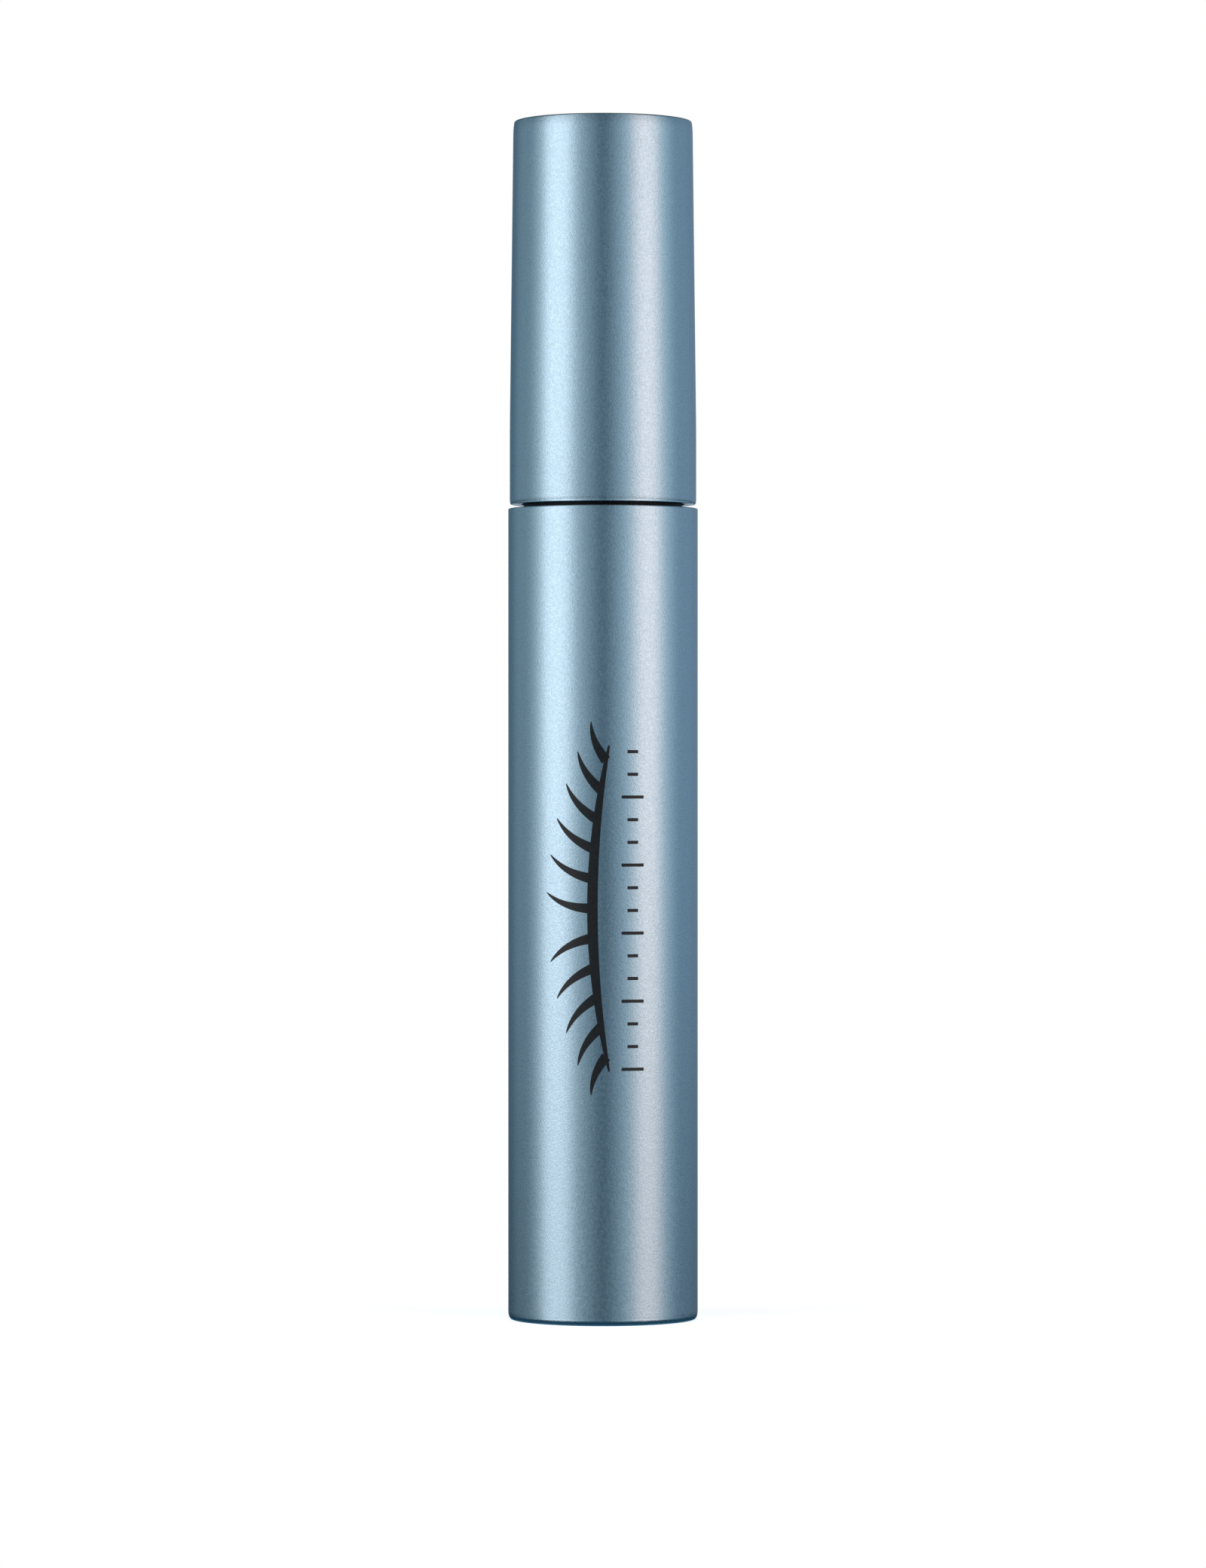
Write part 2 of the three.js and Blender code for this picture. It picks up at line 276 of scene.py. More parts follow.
def floor_for_tube(n, distance):
    """Clear, so that the lacquer reflects whole softboxes, apart from painted shade that the foot
    of the sleeve reflects: a glowing dark ring close round the tube and a dim glow under it."""
    sleeve_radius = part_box("body_sleeve")[1].x
    underneath = n.math("LESS_THAN", distance, sleeve_radius - SHADE_INSIDE * MM)
    shade_colour = n.mix(underneath, (*PAINTED_SHADE_BESIDE_TUBE, 1.0), (*PAINTED_SHADE_UNDER_TUBE, 1.0))
    # Painted shade: the glowing dark ring round the foot and the dim glow under the tube
    painted_shade_glow = n.add("ShaderNodeEmission")
    n.join(shade_colour, painted_shade_glow.inputs["Color"])
    close = n.math("LESS_THAN", distance, sleeve_radius + SHADE_OUTSIDE * MM)
    clear = n.add("ShaderNodeBsdfTransparent")
    return n.blend(close, clear.outputs[0], painted_shade_glow.outputs[0])


def make_floor():
    """A flat floor that looks one way to the camera and another in the tube's reflections."""
    half = FLOOR_HALF
    corners = [(-half, -half, 0), (half, -half, 0), (half, half, 0), (-half, half, 0)]
    mesh = bpy.data.meshes.new("floor")
    mesh.from_pydata(corners, [], [(0, 1, 2, 3)])
    floor = bpy.data.objects.new("floor", mesh)
    bpy.context.scene.collection.objects.link(floor)
    material = bpy.data.materials.new("floor_white")
    material.use_nodes = True
    n = Nodes(material.node_tree)
    from_centre = n.add("ShaderNodeVectorMath", operation="LENGTH")
    n.join(n.add("ShaderNodeTexCoord").outputs["Object"], from_centre.inputs[0])
    distance = from_centre.outputs["Value"]
    seen_by_camera = n.add("ShaderNodeLightPath").outputs["Is Camera Ray"]
    surface = n.blend(seen_by_camera, floor_for_tube(n, distance), floor_for_camera(n, distance))
    n.join(surface, n.add("ShaderNodeOutputMaterial").inputs["Surface"])
    mesh.materials.append(material)


# ---------------------------------------------------------------- materials


def plain(name, colour, roughness, metallic=0.0, **sockets):
    """A Principled material with nothing joined to it yet: (material, nodes, shader)."""
    material = bpy.data.materials.new(name)
    material.use_nodes = True
    n = Nodes(material.node_tree)
    shader = n.add("ShaderNodeBsdfPrincipled")
    shader.inputs["Base Color"].default_value = (*colour, 1.0)
    shader.inputs["Roughness"].default_value = roughness
    shader.inputs["Metallic"].default_value = metallic
    for socket, value in sockets.items():
        shader.inputs[socket.replace("_", " ")].default_value = value
    n.join(shader.outputs[0], n.add("ShaderNodeOutputMaterial").inputs["Surface"])
    return material, n, shader


def noise(n, grain_mm, detail=2.0, stretch=(1.0, 1.0, 1.0)):
    """Noise with a grain of that size, drawn out along an axis where stretch is under 1."""
    mapping = n.add("ShaderNodeMapping")
    mapping.inputs["Scale"].default_value = stretch
    n.join(n.add("ShaderNodeTexCoord").outputs["Object"], mapping.inputs["Vector"])
    texture = n.add("ShaderNodeTexNoise")
    texture.inputs["Scale"].default_value = 1.0 / (grain_mm * MM)
    texture.inputs["Detail"].default_value = detail
    n.join(mapping.outputs[0], texture.inputs["Vector"])
    return texture.outputs["Fac"]


def bump(n, height, depth_mm, under=None):
    """A normal that rises by that depth with height, laid over the one under it, if any."""
    node = n.add("ShaderNodeBump")
    node.inputs["Distance"].default_value = depth_mm * MM
    node.inputs["Strength"].default_value = 1.0
    n.join(height, node.inputs["Height"])
    if under is not None:
        n.join(under, node.inputs["Normal"])
    return node.outputs["Normal"]


def between(n, factor, low, high):
    """Noise, which keeps mostly to 0.3 to 0.7, spread from low to high."""
    node = n.add("ShaderNodeMapRange")
    node.inputs["From Min"].default_value = 0.3
    node.inputs["From Max"].default_value = 0.7
    node.inputs["To Min"].default_value = low
    node.inputs["To Max"].default_value = high
    n.join(factor, node.inputs["Value"])
    return node.outputs[0]


def shade(colour, gain):
    """The colour made lighter or darker, with an alpha of 1."""
    return (*(c * gain for c in colour), 1.0)


def lacquer():
    """Satin metallic blue: fine flake under a slightly wavy clear layer."""
    colour = (0.56, 0.76, 0.88)
    material, n, shader = plain("satin_blue_lacquer", colour, 0.27, metallic=1.0)
    flake = noise(n, 0.14, 1.0)
    glint = between(n, flake, 0.0, 1.0)
    n.join(n.mix(glint, shade(colour, 0.87), shade(colour, 1.10)), shader.inputs["Base Color"])
    n.join(between(n, noise(n, 0.35), 0.24, 0.30), shader.inputs["Roughness"])
    wave = bump(n, noise(n, 2.2, 1.0), 0.004)
    n.join(bump(n, flake, 0.010, under=wave), shader.inputs["Normal"])
    return material


def blue_plastic():
    colour = (0.045, 0.16, 0.235)
    material, n, shader = plain("blue_plastic", colour, 0.22, Specular_IOR_Level=0.6)
    flow = noise(n, 1.6, 3.0, (1.0, 1.0, 0.3))
    n.join(n.mix(flow, shade(colour, 0.85), shade(colour, 1.2)), shader.inputs["Base Color"])
    n.join(between(n, noise(n, 0.4), 0.18, 0.26), shader.inputs["Roughness"])
    n.join(bump(n, flow, 0.004), shader.inputs["Normal"])
    return material


def black_plastic(name="black_plastic", tone=0.006, roughness=0.19, specular=1.0, ior=1.85):
    colour = (tone, tone, tone * 1.1)
    material, n, shader = plain(name, colour, roughness, Specular_IOR_Level=specular, IOR=ior)
    shader.inputs["Specular Tint"].default_value = (0.9, 0.94, 1.0, 1.0)
    flow = noise(n, 0.9, 3.0, (1.0, 1.0, 0.15))
    n.join(n.mix(flow, shade(colour, 0.75), shade(colour, 1.4)), shader.inputs["Base Color"])
    sheen = between(n, noise(n, 0.22), roughness - 0.03, roughness + 0.04)
    n.join(sheen, shader.inputs["Roughness"])
    fine = bump(n, noise(n, 0.08), 0.0012)
    n.join(bump(n, flow, 0.003, under=fine), shader.inputs["Normal"])
    return material


def brush_elastomer():
    colour = (0.008, 0.0075, 0.008)
    material, n, shader = plain("brush_elastomer", colour, 0.55, Specular_IOR_Level=0.32)
    mottle = noise(n, 0.35, 3.0)
    n.join(n.mix(mottle, shade(colour, 0.7), shade(colour, 1.5)), shader.inputs["Base Color"])
    n.join(between(n, mottle, 0.48, 0.62), shader.inputs["Roughness"])
    n.join(bump(n, noise(n, 0.06), 0.002), shader.inputs["Normal"])
    return material


def natural_plastic():
    colour = (0.90, 0.92, 0.90)
    material, n, shader = plain("natural_plastic", colour, 0.4, Subsurface_Weight=0.25)
    shader.inputs["Subsurface Radius"].default_value = (0.0012, 0.0012, 0.0014)
    cloud = noise(n, 1.2, 2.0)
    n.join(n.mix(cloud, shade(colour, 0.93), shade(colour, 1.05)), shader.inputs["Base Color"])
    n.join(bump(n, noise(n, 0.15), 0.0015), shader.inputs["Normal"])
    return material


def mascara():
    colour = (0.006, 0.006, 0.007)
    material, n, shader = plain("mascara", colour, 0.18)
    lumps = noise(n, 0.9, 3.0)
    n.join(n.mix(lumps, shade(colour, 0.7), shade(colour, 1.6)), shader.inputs["Base Color"])
    n.join(between(n, lumps, 0.12, 0.3), shader.inputs["Roughness"])
    n.join(bump(n, lumps, 0.08), shader.inputs["Normal"])
    return material


def weight_steel():
    """Turned steel, with the lathe's fine rings."""
    colour = (0.52, 0.52, 0.54)
    material, n, shader = plain("weight_steel", colour, 0.3, metallic=1.0)
    rings = n.add("ShaderNodeTexWave", wave_type="RINGS", rings_direction="Z")
    rings.inputs["Scale"].default_value = 1400.0
    rings.inputs["Distortion"].default_value = 0.6
    n.join(n.add("ShaderNodeTexCoord").outputs["Object"], rings.inputs["Vector"])
    stain = noise(n, 2.5, 4.0)
    n.join(n.mix(stain, shade(colour, 0.8), shade(colour, 1.1)), shader.inputs["Base Color"])
    n.join(between(n, stain, 0.24, 0.4), shader.inputs["Roughness"])
    n.join(bump(n, rings.outputs["Fac"], 0.002), shader.inputs["Normal"])
    return material


def label_film():
    colour = (0.84, 0.83, 0.80)
    material, n, shader = plain("label_paper", colour, 0.55)
    fibre = noise(n, 0.25, 4.0, (1.0, 0.4, 1.0))
    n.join(n.mix(fibre, shade(colour, 0.94), shade(colour, 1.04)), shader.inputs["Base Color"])
    n.join(bump(n, fibre, 0.003), shader.inputs["Normal"])
    return material


def print_ink():
    """Black screen print, slightly glossy and a little uneven in cover."""
    colour = (0.010, 0.012, 0.014)
    material, n, shader = plain("print_ink", colour, 0.38)
    cover = noise(n, 0.3, 3.0)
    n.join(n.mix(cover, shade(colour, 0.7), shade(colour, 1.7)), shader.inputs["Base Color"])
    n.join(between(n, cover, 0.34, 0.46), shader.inputs["Roughness"])
    n.join(bump(n, cover, 0.002), shader.inputs["Normal"])
    return material


# ---------------------------------------------------------------- shapes


def as_object(name, vertices, faces, material, crease_degrees=38):
    """A smooth mesh object, sharp at edges that bend by more than crease_degrees."""
    mesh = bpy.data.meshes.new(name)
    mesh.from_pydata(vertices, [], faces)
    mesh.validate()
    mesh.shade_smooth()
    mesh.set_sharp_from_angle(angle=math.radians(crease_degrees))
    mesh.materials.append(material)
    made = bpy.data.objects.new(name, mesh)
    bpy.context.scene.collection.objects.link(made)
    return made


def eased(outline, steps=8):
    """The outline with each corner that states a size, (radius, height, size), rounded to it.
    A size is a radius, or a pair: how far the rounding reaches before and after the corner."""
    points = []
    count = len(outline)
    for i, (radius, height, *size) in enumerate(outline):
        corner = Vector((radius, height))
        if not size:
            points.append(tuple(corner))
            continue
        arriving = (corner - Vector(outline[i - 1][:2])).normalized()
        leaving = (Vector(outline[(i + 1) % count][:2]) - corner).normalized()
        if isinstance(size[0], tuple):
            before, after = size[0]
        else:
            before = after = size[0] * math.tan(arriving.angle(leaving) / 2)
        start = corner - arriving * before
        end = corner + leaving * after
        for k in range(steps + 1):
            t = k / steps
            points.append(tuple(start.lerp(corner, t).lerp(corner.lerp(end, t), t)))
    return points


def at(radius, angle, height):
    """A point in metres, from millimetres and an angle about the tube's axis."""
    return (radius * MM * math.cos(angle), radius * MM * math.sin(angle), height * MM)


def lathe(outline, segments, swell=None):
    """Vertices and faces of a closed solid turned about the tube's axis, from an outline in
    millimetres that runs counter-clockwise. swell(angle, radius, height) adds to the radius."""
    closes_on_itself = outline[0][0] > 0
    vertices, rings = [], []
    for radius, height in eased(outline):
        first = len(vertices)
        if radius == 0:
            rings.append([first] * segments)
            vertices.append((0.0, 0.0, height * MM))
            continue
        rings.append(range(first, first + segments))
        for i in range(segments):
            angle = 2 * math.pi * i / segments
            reach = radius + (swell(angle, radius, height) if swell else 0.0)
            vertices.append(at(reach, angle, height))
    following = rings[1:] + rings[:1] if closes_on_itself else rings[1:]
    faces = []
    for low, high in zip(rings, following):
        for i in range(segments):
            j = (i + 1) % segments
            faces.append(tuple(dict.fromkeys((low[i], low[j], high[j], high[i]))))
    return vertices, faces


def turned(name, outline, segments, material):
    """An object turned about the tube's axis from its outline."""
    return as_object(name, *lathe(outline, segments), material)


def thread_section(buried):
    """The ridge's cross-section as (up, out) from the wall's face: its foot, buried in the wall and
    eased out of it, then a flank, a bevel and the crest, and the same again on the upper side."""
    half_foot = THREAD_FOOT / 2
    half_crest = THREAD_CREST / 2
    spread = 0.1
    ease = 0.08
    ease_out = 0.12
    bevel = 0.15
    bevel_spread = 0.06
    lower_half = (
        (-half_foot - spread, -buried),
        (-half_foot + ease, ease_out),
        (-half_crest - bevel_spread, THREAD_DEPTH - bevel),
        (-half_crest + ease, THREAD_DEPTH),
    )
    return lower_half + tuple((-up, out) for up, out in reversed(lower_half))


def add_thread(vertices, faces, wall_radius, start, side):
    """One thread ridge climbing the wall, outwards where side is 1 and inwards where it is -1.
    It sinks into the wall at both ends."""
    steps_per_turn = 144
    fade_turns = 0.12
    buried = 0.15
    section = thread_section(buried)
    steps = round(THREAD_TURNS * steps_per_turn)
    rings = []
    for k in range(steps + 1):
        turn = THREAD_TURNS * k / steps
        rise = min(1.0, turn / fade_turns, (THREAD_TURNS - turn) / fade_turns)
        rings.append(range(len(vertices), len(vertices) + len(section)))
        for up, out in section[::side]:
            reach = wall_radius + side * ((out + buried) * rise - buried)
            vertices.append(at(reach, 2 * math.pi * turn, start + turn * THREAD_PITCH + up))
    count = len(section)
    for here, ahead in zip(rings, rings[1:]):
        for i in range(count):
            j = (i + 1) % count
            faces.append((here[i], ahead[i], ahead[j], here[j]))
    faces.append(tuple(rings[0]))
    faces.append(tuple(reversed(rings[-1])))


def stand_for(piece, node, body):
    """The piece takes the CAD node's place and rides on its body."""
    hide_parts(node)
    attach(piece, body)


# ---------------------------------------------------------------- the bottle's pieces


def make_sleeve(material):
    radius, bottom, top = span("body_sleeve")
    bore = radius - SLEEVE_WALL
    outline = [
        (bore, bottom, 0.15),
        (radius, bottom, (0.45, 0.9)),
        (radius, top, 0.15),
        (SLEEVE_LIP_BORE, top, 0.1),
        (SLEEVE_LIP_BORE, top - SLEEVE_LIP, 0.05),
        (bore, top - SLEEVE_LIP),
    ]
    piece = turned("sleeve", outline, FINE, material)
    stand_for(piece, "body_sleeve", "bottle")


def make_plug(material):
    """A moulded disc with a recess for the label below and a dished top."""
    radius, bottom, top = span("base_plug")
    recess = LABEL_RECESS_RADIUS
    depth = LABEL_RECESS_DEPTH
    outline = [
        (0, bottom + depth),
        (recess, bottom + depth),
        (recess, bottom, 0.05),
        (radius, bottom, 0.3),
        (radius, top, 0.1),
        (radius - 1.2, top, 0.1),
        (radius - 1.4, top - 0.8, 0.2),
        (0, top - 0.8),
    ]
    piece = turned("plug", outline, MEDIUM, material)
    stand_for(piece, "base_plug", "bottle")


def make_label(material):
    radius, bottom, top = span("base_label")
    outline = [(0, bottom), (radius, bottom, 0.04), (radius, top), (0, top)]
    piece = turned("label", outline, MEDIUM, material)
    stand_for(piece, "base_label", "bottle")


def make_bottle(material):
    """Body, the dark shoulder that shows under the cap, and the threaded neck."""
    radius, bottom, top = span("inner_bottle")
    inside = radius - BOTTLE_WALL
    sleeve_top = span("body_sleeve")[2]
    stop = sleeve_top - SLEEVE_LIP - FIT_GAP
    shoulder_top = sleeve_top + SHOULDER_PROUD
    outline = [
        (0, bottom),
        (radius, bottom, 0.8),
        (radius, stop, 0.1),
        (SHOULDER_RADIUS, stop),
        (SHOULDER_RADIUS, shoulder_top, 0.25),
        (NECK_ROOT, shoulder_top, 0.3),
        (NECK_ROOT, top, 0.2),
        (NECK_BORE, top, 0.2),
        (NECK_BORE, stop + BOTTLE_WALL, 0.6),
        (inside, stop - BOTTLE_WALL, 1.0),
        (inside, bottom + BOTTLE_WALL, 0.8),
        (0, bottom + BOTTLE_WALL),
    ]
    vertices, faces = lathe(outline, MEDIUM)
    add_thread(vertices, faces, NECK_ROOT, THREAD_START, 1)
    piece = as_object("bottle", vertices, faces, material)
    stand_for(piece, "inner_bottle", "bottle")


def make_wiper(material):
    """A flange on the neck's rim, a sleeve down the neck and a funnel to a tight orifice."""
    radius, bottom, top = span("wiper")
    neck_top = span("inner_bottle")[2]
    outside = NECK_BORE - FIT_GAP
    wall = WIPER_WALL
    orifice = WAND_RIM_RADIUS + WIPER_CLEARANCE
    funnel = bottom + WIPER_FUNNEL
    outline = [
        (orifice, bottom, 0.08),
        (orifice + wall / 2, bottom, 0.1),
        (outside, funnel, 0.5),
        (outside, neck_top + FIT_GAP),
        (radius, neck_top + FIT_GAP, 0.1),
        (radius, top, 0.2),
        (outside - wall, top, 0.3),
        (outside - wall, funnel + wall, 0.6),
        (orifice, bottom + wall, 0.3),
    ]
    piece = turned("wiper_insert", outline, MEDIUM, material)
    stand_for(piece, "wiper", "bottle")


def make_fill(material):
    """Mascara against the bottle's wall, uneven where the brush has passed."""
    radius, bottom, top = span("mascara_fill")
    channel = FILL_CHANNEL
    mouth = channel + 1.2
    mouth_drop = 0.6
    margin = 1.0
    rows = 80
    marked_depth = 0.6
    marks_mean = 0.12
    marks_height = 0.07

    def uneven(angle, at_radius, height):
        if at_radius > channel + marked_depth:
            return 0.0
        ripple = math.sin(3 * angle + height * 0.7) + 0.6 * math.sin(5 * angle - height * 1.3)
        return marks_mean + marks_height * ripple

    climb = bottom + margin - top
    wall = [(channel, top - margin + climb * i / rows) for i in range(rows + 1)]
    outline = [(radius, bottom), (radius, top), (mouth, top - mouth_drop, 0.5), *wall]
    cream = as_object("mascara_cream", *lathe(outline, SMALL, uneven), material)
    stand_for(cream, "mascara_fill", "bottle")


# ---------------------------------------------------------------- the cap's pieces


def make_cap(material):
    radius, rim, top = span("cap_shell")
    step = rim + COUNTERBORE_DEPTH
    roof = top - CAP_ROOF
    post_end = span("cap_weight")[2] + FIT_GAP
    outline = [
        (0, post_end),
        (POST_RADIUS, post_end, 0.3),
        (POST_RADIUS, roof, 0.3),
        (CAP_BORE, roof, 0.4),
        (CAP_BORE, step, 0.05),
        (COUNTERBORE_RADIUS, step, 0.05),
        (COUNTERBORE_RADIUS, rim, 0.06),
        (radius, rim, (0.15, 0.55)),
        (radius, rim + CAP_STRAIGHT, CAP_BEND),
        (CAP_TOP_RADIUS, top - CAP_BROW_HEIGHT, (0.6, 0.35)),
        (CAP_TOP_RADIUS - CAP_BROW, top, (0.22, 0.22)),
        (0, top),
    ]
    piece = turned("cap", outline, FINE, material)
    stand_for(piece, "cap_shell", "applicator")


def make_insert(material):
    radius, bottom, top = span("inner_cap")
    boss_bore = SPIGOT_RADIUS + FIT_GAP
    web = span("cap_weight")[1] - FIT_GAP - BOSS_HEIGHT - INSERT_WEB
    web_top = web + INSERT_WEB
    boss_top = web_top + BOSS_HEIGHT
    outline = [
        (INSERT_THREAD_BORE, bottom, 0.2),
        (radius, bottom, 0.2),
        (radius, top, 0.1),
        (INSERT_CHAMBER, top, 0.1),
        (INSERT_CHAMBER, web_top, 0.2),
        (BOSS_RADIUS, web_top, 0.3),
        (BOSS_RADIUS, boss_top, 0.1),
        (boss_bore, boss_top),
        (boss_bore, web),
        (INSERT_THREAD_BORE, web, 0.2),
    ]
    vertices, faces = lathe(outline, MEDIUM)
    add_thread(vertices, faces, INSERT_THREAD_BORE, THREAD_START - THREAD_PITCH / 2, -1)
    piece = as_object("cap_insert", vertices, faces, material)
    stand_for(piece, "inner_cap", "applicator")


def make_weight(material):
    radius, bottom, top = span("cap_weight")
    outline = [(0, bottom), (radius, bottom, 0.4), (radius, top, 0.4), (0, top)]
    piece = turned("weight_slug", outline, MEDIUM, material)
    stand_for(piece, "cap_weight", "weight")


def make_liner(material):
    radius, bottom, top = span("liner_washer")
    hole = WAND_RIM_RADIUS + 0.2
    outline = [(hole, bottom, 0.08), (radius, bottom, 0.08), (radius, top, 0.08), (hole, top, 0.08)]
    piece = turned("liner", outline, MEDIUM, material)
    stand_for(piece, "liner_washer", "seal")


def make_wand(material):
    radius, bottom, top = span("wand")
    rim = span("cap_shell")[1]
    flange = span("liner_washer")[2] + FIT_GAP
    socket = STEM_RADIUS + FIT_GAP
    outline = [
        (0, bottom + BRUSH_SOCKET),
        (socket, bottom + BRUSH_SOCKET),
        (socket, bottom, 0.12),
        (WAND_TIP_RADIUS, bottom, 0.55),
        (WAND_RIM_RADIUS, rim, WAND_BEND),
        (WAND_RIM_RADIUS, flange, 0.1),
        (radius, flange, 0.1),
        (radius, flange + WAND_FLANGE, 0.1),
        (SPIGOT_RADIUS, flange + WAND_FLANGE),
        (SPIGOT_RADIUS, top, 0.4),
        (0, top),
    ]
    piece = turned("wand_rod", outline, SMALL, material)
    stand_for(piece, "wand", "applicator")


# ---------------------------------------------------------------- the brush

BRISTLE_ROWS = 12
BRISTLE_PITCH = 1.18
ROWS_ABOVE_CROWN = 0.4
ROWS_BELOW_TOP = 0.5
HUB_RADIUS = 1.65
HUB_SWELL = 0.06
HUB_SWELL_HEIGHT = 11
NEEDLE_FOOT = 0.15
REACH_NEAR_TIP = 3.8
REACH_BEYOND = 4.25
CROWN_NEEDLE = 2.1
# How far the needles stray: a lean as a share of their length, and a bow at the tip in millimetres
LEAN_SPREAD = {"up": 0.018, "sideways": 0.02}
BOW_SPREAD = {"up": 0.13, "sideways": 0.09}
CROWN_BOW_SPREAD = (0.14, 0.14, 0.05)
BOW_POWER = 2.2
# Each ring of the crown: its lean from the brush's axis in degrees, and its needles
CROWN = ((70, 12), (45, 9), (18, 5))
# A needle's stations from foot to point: share of its length, and thickness in feet
NEEDLE_STATIONS = (
    (-0.12, 1.35), (0.0, 1.25), (0.06, 0.98), (0.2, 0.86),
    (0.4, 0.7), (0.6, 0.52), (0.78, 0.34), (0.92, 0.2),
)


def make_core(material):
    radius, bottom, top = span("brush_core")
    collar = span("bristle_sleeve")[2] + FIT_GAP
    outline = [
        (0, bottom),
        (ROD_RADIUS, bottom, 0.2),
        (ROD_RADIUS, collar),
        (radius, collar, 0.1),
        (radius, top, 0.3),
        (0, top),
    ]
    piece = turned("brush_stem", outline, SMALL, material)
    stand_for(piece, "brush_core", "applicator")


def add_needle(vertices, faces, foot, direction, length, drift):
    """One needle from a flared foot to a fine point, bowed so that its tip is off by drift.
    Millimetres."""
    sides = 7
    side_a = direction.orthogonal().normalized()
    side_b = direction.cross(side_a)
    rings = []
    for share, thickness in NEEDLE_STATIONS:
        centre = foot + direction * (share * length) + drift * max(0.0, share) ** BOW_POWER
        rings.append(len(vertices))
        for i in range(sides):
            angle = 2 * math.pi * i / sides
            outward = side_a * math.cos(angle) + side_b * math.sin(angle)
            offset = outward * (NEEDLE_FOOT * thickness)
            vertices.append(tuple((centre + offset) * MM))
    for low, high in zip(rings, rings[1:]):
        for i in range(sides):
            j = (i + 1) % sides
            faces.append((low + i, low + j, high + j, high + i))
    tip = len(vertices)
    vertices.append(tuple((foot + direction * length + drift) * MM))
    faces.extend((rings[-1] + i, rings[-1] + (i + 1) % sides, tip) for i in range(sides))
    faces.append(tuple(rings[0] + i for i in reversed(range(sides))))


def hub_outline(crown_height, top):
    """A domed tip, a slight swell along the hub and a bore for the brush's rod."""
    bore = ROD_RADIUS + FIT_GAP
    dome = []
    for degrees in range(0, 91, 10):
        angle = math.radians(degrees)
        dome.append((HUB_RADIUS * math.sin(angle), crown_height - HUB_RADIUS * math.cos(angle)))
    return [
        *dome,
        (HUB_RADIUS + HUB_SWELL, crown_height + HUB_SWELL_HEIGHT),
        (HUB_RADIUS, top, 0.12),
        (bore, top),
        (bore, crown_height),
        (0, crown_height),
    ]


def stray(rng, up, sideways, spread):
    """A random offset across a needle."""
    return up * rng.gauss(0.0, spread["up"]) + sideways * rng.gauss(0.0, spread["sideways"])


def add_rows(vertices, faces, rng, first, length):
    """Rows of needles round the hub, every other row half a pitch higher."""
    up = Vector((0.0, 0.0, 1.0))
    for row in range(BRISTLE_ROWS):
        around = 2 * math.pi * (row + 0.5) / BRISTLE_ROWS
        outward = Vector((math.cos(around), math.sin(around), 0.0))
        sideways = up.cross(outward)
        climbed = (row % 2) * BRISTLE_PITCH / 2
        while climbed <= length:
            share = min(1.0, 2 * climbed / length)
            reach = REACH_NEAR_TIP + (REACH_BEYOND - REACH_NEAR_TIP) * share
            foot = outward * HUB_RADIUS + up * (first + climbed)
            lean = stray(rng, up, sideways, LEAN_SPREAD)
            drift = stray(rng, up, sideways, BOW_SPREAD)
            direction = (outward + lean).normalized()
            add_needle(vertices, faces, foot, direction, reach - HUB_RADIUS, drift)
            climbed += BRISTLE_PITCH


def add_crown(vertices, faces, rng, crown_height):
    """Rings of needles over the hub's domed tip."""
    centre = Vector((0, 0, crown_height))
    for lean_degrees, count in CROWN:
        lean = math.radians(lean_degrees)
        for i in range(count):
            around = 2 * math.pi * (i + 0.5) / count
            direction = Vector((
                math.sin(lean) * math.cos(around),
                math.sin(lean) * math.sin(around),
                -math.cos(lean),
            ))
            drift = Vector([rng.gauss(0.0, spread) for spread in CROWN_BOW_SPREAD])
            foot = centre + direction * HUB_RADIUS
            add_needle(vertices, faces, foot, direction, CROWN_NEEDLE, drift)


def make_bristles(material):
    """A soft hub with rows of needles, each bent a little its own way, and a crown at its tip."""
    rng = random.Random(7)
    top = span("bristle_sleeve")[2]
    crown_height = span("brush_core")[1] - FIT_GAP
    vertices, faces = lathe(hub_outline(crown_height, top), SMALL)
    first = crown_height + ROWS_ABOVE_CROWN
    add_rows(vertices, faces, rng, first, top - ROWS_BELOW_TOP - first)
    add_crown(vertices, faces, rng, crown_height)
    bristles = as_object("bristles", vertices, faces, material, crease_degrees=60)
    stand_for(bristles, "bristle_sleeve", "applicator")


# ---------------------------------------------------------------- the front's print

# Millimetres on the unrolled sleeve: across from its front line, and up
PRINT_PROUD = 0.018
PRINT_BURIED = 0.04
LID = {"across": 0.6, "low": 25.2, "high": 57.4, "belly": -2.7, "ends": 0.2, "swell": 0.86}
LASHES = {
    "count": 11, "middle": 4.9, "ends": 3.7, "fan_degrees": 56, "curl": 0.32,
    "root": 1.0, "point": 0.05,
}
TICKS = {
    "across": 3.0, "low": 25.4, "high": 56.8, "count": 15,
    "short": 1.1, "long": 2.3, "long_every": 3, "width": 0.32,
}


def along(start, bend, end, t):
    """A point on the quadratic curve from start to end, pulled towards bend."""
    return start.lerp(bend, t).lerp(bend.lerp(end, t), t)


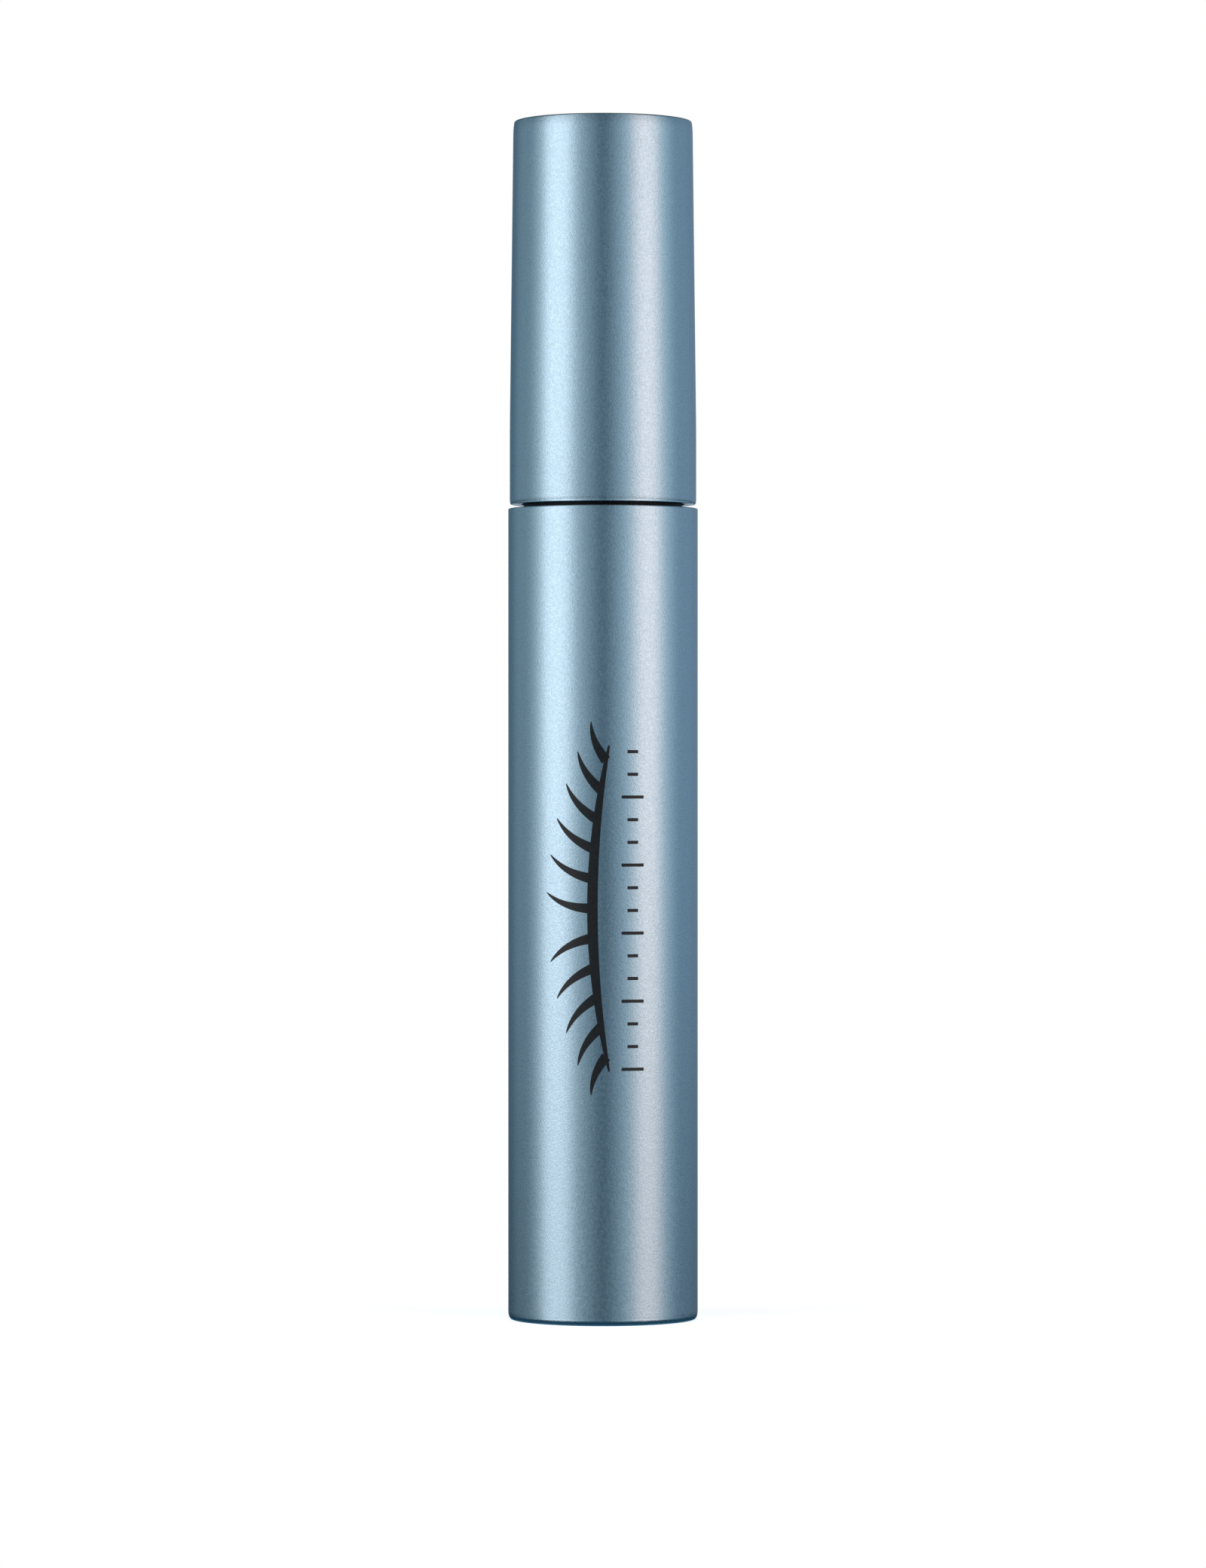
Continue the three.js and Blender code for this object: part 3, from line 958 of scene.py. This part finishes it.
def add_stroke(vertices, faces, radius, points, width, steps=24):
    """A stroke along three points (across, height) of the unrolled sleeve, width(t) wide.
    It is a thin closed skin that follows the sleeve's curve. Millimetres."""
    columns = 5
    rings = []
    for k in range(steps + 1):
        t = k / steps
        here = along(*points, t)
        ahead = along(*points, t + 0.01) - along(*points, t - 0.01)
        sideways = Vector((-ahead.y, ahead.x)).normalized() * width(t)
        spots = [here + sideways * (c / (columns - 1) - 0.5) for c in range(columns)]
        ring = []
        for depth, row in ((-PRINT_BURIED, spots), (PRINT_PROUD, reversed(spots))):
            reach = radius + depth
            for spot in row:
                ring.append(len(vertices))
                angle = spot.x / radius
                vertices.append((
                    reach * MM * math.sin(angle),
                    -reach * MM * math.cos(angle),
                    spot.y * MM,
                ))
        rings.append(ring)
    for low, high in zip(rings, rings[1:]):
        for i in range(2 * columns):
            j = (i + 1) % (2 * columns)
            faces.append((low[i], high[i], high[j], low[j]))
    faces.append(tuple(rings[0]))
    faces.append(tuple(reversed(rings[-1])))


def lash_shapes():
    """The lid line, then each lash fanned out from it: three points and a width along them."""
    lid = (
        Vector((LID["across"], LID["low"])),
        Vector((LID["belly"], (LID["low"] + LID["high"]) / 2)),
        Vector((LID["across"], LID["high"])),
    )
    yield lid, lambda t: LID["ends"] + LID["swell"] * math.sin(math.pi * t) ** 0.8
    for i in range(LASHES["count"]):
        share = (i + 0.5) / LASHES["count"]
        side = 2 * share - 1
        root = along(*lid, share)
        length = LASHES["ends"] + (LASHES["middle"] - LASHES["ends"]) * (1 - side * side)
        heading = math.radians(LASHES["fan_degrees"]) * side
        outward = Vector((-math.cos(heading), math.sin(heading)))
        upward = Vector((math.sin(heading), math.cos(heading)))
        curl = math.copysign(LASHES["curl"], side) * length
        bend = root + outward * length * 0.6
        tip = root + outward * length + upward * curl
        yield (root, bend, tip), lambda t: LASHES["point"] + LASHES["root"] * (1 - t) ** 0.75


def make_print(material):
    """A plain lash row in brush strokes, beside a row of fine ticks."""
    radius = span("body_sleeve")[0]
    vertices, faces = [], []
    for points, width in lash_shapes():
        add_stroke(vertices, faces, radius, points, width)
    for i in range(TICKS["count"]):
        height = TICKS["low"] + (TICKS["high"] - TICKS["low"]) * i / (TICKS["count"] - 1)
        half = TICKS["short" if i % TICKS["long_every"] else "long"] / 2
        points = tuple(Vector((TICKS["across"] + offset, height)) for offset in (-half, 0, half))
        add_stroke(vertices, faces, radius, points, lambda t: TICKS["width"], steps=8)
    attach(as_object("front_print", vertices, faces, material), "bottle")


def main():
    make_camera()
    make_world()
    make_floor()
    lacquered = lacquer()
    blue = blue_plastic()
    black = black_plastic()
    natural = natural_plastic()
    make_sleeve(lacquered)
    make_print(print_ink())
    make_plug(blue)
    make_label(label_film())
    # The bottle gets a darker, less reflective copy of the black plastic: painted shade, so that
    # its shoulder reads dark in the seam's narrow gap
    make_bottle(black_plastic("bottle_black_painted_shade", tone=0.0025, roughness=0.45, specular=0.3, ior=1.5))
    make_wiper(natural)
    make_fill(mascara())
    make_cap(lacquered)
    make_insert(blue)
    make_weight(weight_steel())
    make_liner(natural)
    make_wand(black)
    make_core(black)
    make_bristles(brush_elastomer())


main()
